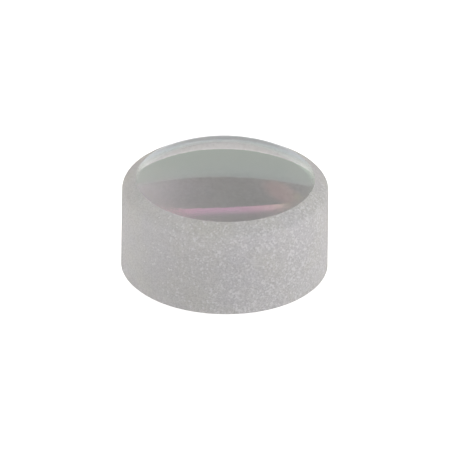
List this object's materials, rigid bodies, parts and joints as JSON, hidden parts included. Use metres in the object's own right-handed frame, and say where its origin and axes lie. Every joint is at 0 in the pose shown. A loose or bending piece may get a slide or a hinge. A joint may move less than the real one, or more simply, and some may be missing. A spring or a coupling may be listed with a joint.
{
  "type": "plano-convex lens",
  "caption": "Small round plano-convex glass lens with a polished dome, a flat back face, a fine-ground cylindrical edge and a ground bevel round the dome.",
  "frame": {"origin": "centre of the flat (plano) face", "axes": "+Z along the optical axis, from the flat face towards the dome; +X and +Y are any two square directions across the round lens"},
  "size_m": [0.003, 0.003, 0.0018],
  "materials": {
    "glass": "clear optical glass; dome and flat face polished and anti-reflection coated, edge and bevels fine ground to a frosted grey"
  },
  "bodies": {
    "root": {"lens": "glass"}
  },
  "joints": []
}
